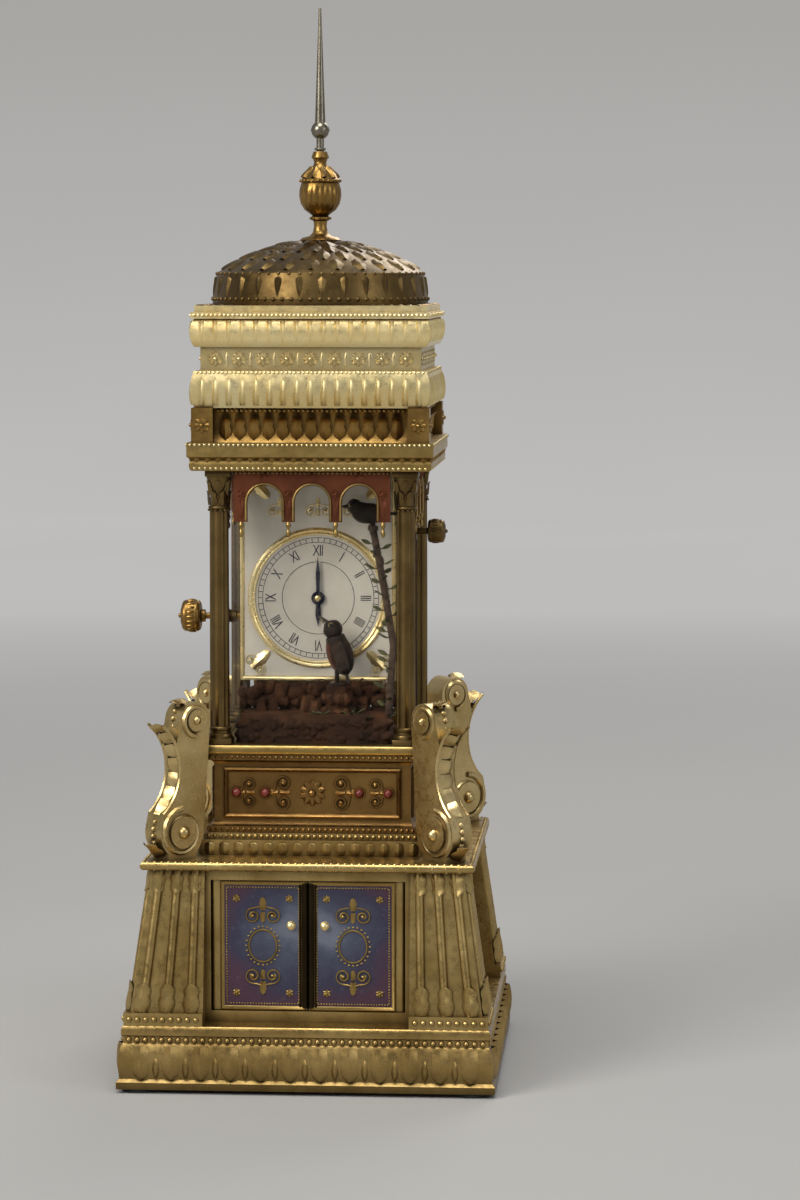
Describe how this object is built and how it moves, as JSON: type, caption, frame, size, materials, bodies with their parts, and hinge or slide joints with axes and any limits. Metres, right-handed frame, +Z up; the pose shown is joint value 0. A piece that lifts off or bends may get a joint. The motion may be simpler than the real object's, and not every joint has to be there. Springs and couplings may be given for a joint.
{
  "type": "singing bird automaton clock",
  "caption": "Gilt table clock: glazed lantern with a dial and two birds that move, over a cupboard base that holds the song works.",
  "frame": {"origin": "middle of the base at the table", "axes": "+Z up, the dial and the doors face -Y, +X to the right of someone facing the dial"},
  "size_m": [0.1788, 0.1788, 0.5],
  "materials": {
    "gilt": "polished gilt",
    "old_gilt": "aged gilt, satin",
    "bronze": "dark patinated bronze",
    "enamel": "blue and violet enamel, glossy",
    "dial": "cream enamel",
    "blued": "blued steel",
    "steel": "polished steel",
    "movement_brass": "brushed brass",
    "glass": "clear",
    "rock": "painted rockwork, matte",
    "bark": "painted bark, matte",
    "plumage": "dark feathering",
    "beak": "painted beak",
    "wood": "waxed",
    "leather": "thin kid leather",
    "silvered": "silvered metal",
    "pad": "felt-like pad"
  },
  "bodies": {
    "case": {"foot_pads": "pad", "plinth": "gilt", "corner_piers": "gilt", "wall_frames": "gilt", "side_panels": "enamel", "back_cover": "old_gilt", "back_cover_screws": "steel", "body_cornice": "gilt", "stage_walls": "old_gilt", "corner_scrolls": "gilt", "lantern_floor": "old_gilt", "perch_branch": "bark", "rock_mound": "rock", "lantern_columns": "bronze", "lantern_glass": "glass", "valances": "bronze", "architrave": "old_gilt", "frieze": "bronze", "cornice": "gilt", "dome": "bronze", "finial_urn": "bronze", "spire": "silvered", "movement_seat": "wood", "movement_plates": "movement_brass", "movement_pillars": "movement_brass", "dial_plate": "dial", "knob_bushes": "gilt", "song_frame": "movement_brass", "bellows_leather": "leather", "whistle_tube": "movement_brass"},
    "left_door": {"left_door": "enamel"},
    "right_door": {"right_door": "enamel"},
    "rear_door": {"rear_door": "old_gilt", "rear_door_glass": "glass"},
    "start_knob": {"start_knob": "gilt"},
    "set_knob": {"set_knob": "old_gilt"},
    "minute_work": {"centre_wheel": "movement_brass", "minute_hand": "blued"},
    "hour_work": {"hour_hand": "blued"},
    "minute_wheel": {"minute_wheel": "movement_brass"},
    "going_barrel": {"going_barrel": "movement_brass"},
    "third_wheel": {"third_wheel": "movement_brass"},
    "escape_wheel": {"escape_wheel": "movement_brass"},
    "balance": {"balance_wheel": "movement_brass"},
    "pallet_lever": {"pallet_lever": "steel"},
    "song_barrel": {"song_barrel": "movement_brass"},
    "song_cams": {"song_cams": "movement_brass"},
    "song_fly": {"song_fly": "movement_brass"},
    "cam_lever": {"cam_lever": "steel"},
    "push_rod": {"push_rod": "steel"},
    "bellows_top": {"bellows_top": "wood"},
    "whistle_piston": {"whistle_piston": "steel"},
    "bird": {"bird_body": "plumage"},
    "bird_head": {"bird_head": "plumage"},
    "bird_beak": {"bird_beak": "beak"},
    "bird_tail": {"bird_tail": "plumage"},
    "bird_left_wing": {"bird_left_wing": "plumage"},
    "bird_right_wing": {"bird_right_wing": "plumage"},
    "second_bird": {"second_bird": "plumage"}
  },
  "joints": [
    {"name": "left_door_hinge", "type": "hinge", "parent": "case", "child": "left_door", "pos_m": [-0.0432, -0.0675, 0.036], "axis": [0, 0, -1], "range_deg": [0, 90]},
    {"name": "right_door_hinge", "type": "hinge", "parent": "case", "child": "right_door", "pos_m": [0.0432, -0.0675, 0.036], "axis": [0, 0, 1], "range_deg": [0, 90]},
    {"name": "rear_door_hinge", "type": "hinge", "parent": "case", "child": "rear_door", "pos_m": [0.0355, 0.0435, 0.157], "axis": [0, 0, -1], "range_deg": [0, 90]},
    {"name": "start_knob_push", "type": "slide", "parent": "case", "child": "start_knob", "axis": [1, 0, 0], "range_m": [0, 0.004], "stiffness_N_per_m": 60, "springref_m": -0.002},
    {"name": "set_knob_turn", "type": "hinge", "parent": "case", "child": "set_knob", "pos_m": [0.059, 0, 0.254], "axis": [1, 0, 0], "continuous": true},
    {"name": "minute_turn", "type": "hinge", "parent": "case", "child": "minute_work", "pos_m": [0, 0, 0.223], "axis": [0, 1, 0], "continuous": true},
    {"name": "hour_turn", "type": "hinge", "parent": "case", "child": "hour_work", "pos_m": [0, 0, 0.223], "axis": [0, 1, 0], "continuous": true},
    {"name": "minute_wheel_turn", "type": "hinge", "parent": "case", "child": "minute_wheel", "pos_m": [0.0048, 0, 0.21469], "axis": [0, 1, 0], "continuous": true},
    {"name": "going_barrel_turn", "type": "hinge", "parent": "case", "child": "going_barrel", "pos_m": [0, 0, 0.2461], "axis": [0, 1, 0], "continuous": true},
    {"name": "third_wheel_turn", "type": "hinge", "parent": "case", "child": "third_wheel", "pos_m": [-0.01212, 0, 0.216], "axis": [0, 1, 0], "continuous": true},
    {"name": "escape_wheel_turn", "type": "hinge", "parent": "case", "child": "escape_wheel", "pos_m": [-0.00247, 0, 0.2079], "axis": [0, 1, 0], "continuous": true},
    {"name": "balance_swing", "type": "hinge", "parent": "case", "child": "balance", "pos_m": [0.01878, 0, 0.20309], "axis": [0, 1, 0], "range_deg": [-110, 110]},
    {"name": "pallet_rock", "type": "hinge", "parent": "case", "child": "pallet_lever", "pos_m": [0.00719, 0, 0.2062], "axis": [0, 1, 0], "range_deg": [-4.4, 4.4]},
    {"name": "song_barrel_turn", "type": "hinge", "parent": "case", "child": "song_barrel", "pos_m": [-0.025, 0, 0.056], "axis": [0, 1, 0], "continuous": true},
    {"name": "song_cams_turn", "type": "hinge", "parent": "case", "child": "song_cams", "pos_m": [-0.01026, 0, 0.06632], "axis": [0, 1, 0], "continuous": true},
    {"name": "song_fly_turn", "type": "hinge", "parent": "case", "child": "song_fly", "pos_m": [-0.00831, 0, 0.07735], "axis": [0, 1, 0], "continuous": true},
    {"name": "cam_lever_lift", "type": "hinge", "parent": "case", "child": "cam_lever", "pos_m": [-0.034, 0, 0.089], "axis": [0, -1, 0], "range_deg": [0, 3]},
    {"name": "push_rod_lift", "type": "slide", "parent": "case", "child": "push_rod", "axis": [0, 0, 1], "range_m": [0, 0.0023]},
    {"name": "bellows_lift", "type": "hinge", "parent": "case", "child": "bellows_top", "pos_m": [0, 0.018, 0.058], "axis": [-1, 0, 0], "range_deg": [0, 7], "deforming": ["bellows_leather"]},
    {"name": "whistle_piston_slide", "type": "slide", "parent": "case", "child": "whistle_piston", "axis": [0, -1, 0], "range_m": [0, 0.012]},
    {"name": "bird_turn", "type": "hinge", "parent": "case", "child": "bird", "pos_m": [0.01, -0.028, 0.183], "axis": [0, 0, 1], "range_deg": [-20, 20]},
    {"name": "bird_head_turn", "type": "hinge", "parent": "bird", "child": "bird_head", "pos_m": [0.00799, -0.028, 0.20948], "axis": [-0.2924, 0, 0.9563], "range_deg": [-30, 30]},
    {"name": "bird_beak_open", "type": "hinge", "parent": "bird_head", "child": "bird_beak", "pos_m": [0.00364, -0.028, 0.21255], "axis": [0, -1, 0], "range_deg": [0, 16], "stiffness_Nm_per_rad": 0.0004, "springref_deg": -17.19},
    {"name": "bird_tail_flick", "type": "hinge", "parent": "bird", "child": "bird_tail", "pos_m": [0.01422, -0.028, 0.18911], "axis": [0, 1, 0], "range_deg": [-8, 8], "stiffness_Nm_per_rad": 0.0006},
    {"name": "left_wing_lift", "type": "hinge", "parent": "bird", "child": "bird_left_wing", "pos_m": [0.01456, -0.0347, 0.19894], "axis": [-0.2924, 0, 0.9563], "range_deg": [0, 25], "stiffness_Nm_per_rad": 0.0006, "springref_deg": -17.19},
    {"name": "right_wing_lift", "type": "hinge", "parent": "bird", "child": "bird_right_wing", "pos_m": [0.01456, -0.0213, 0.19894], "axis": [0.2924, 0, -0.9563], "range_deg": [0, 25], "stiffness_Nm_per_rad": 0.0006, "springref_deg": -17.19},
    {"name": "second_bird_turn", "type": "hinge", "parent": "case", "child": "second_bird", "pos_m": [0.027, -0.028, 0.257], "axis": [0, 0, 1], "range_deg": [-15, 15]}
  ],
  "couplings": [
    {"joint": "hour_turn", "follows": "minute_turn", "ratio": 0.083333},
    {"joint": "minute_wheel_turn", "follows": "minute_turn", "ratio": -0.33333},
    {"joint": "going_barrel_turn", "follows": "minute_turn", "ratio": -0.16667},
    {"joint": "third_wheel_turn", "follows": "minute_turn", "ratio": -6},
    {"joint": "escape_wheel_turn", "follows": "minute_turn", "ratio": 36},
    {"joint": "pallet_rock", "follows": "balance_swing", "ratio": -0.04},
    {"joint": "song_cams_turn", "follows": "song_barrel_turn", "ratio": -5},
    {"joint": "song_fly_turn", "follows": "song_barrel_turn", "ratio": 30},
    {"joint": "push_rod_lift", "follows": "cam_lever_lift", "m_per_rad": 0.044},
    {"joint": "right_wing_lift", "follows": "left_wing_lift", "ratio": 1}
  ]
}
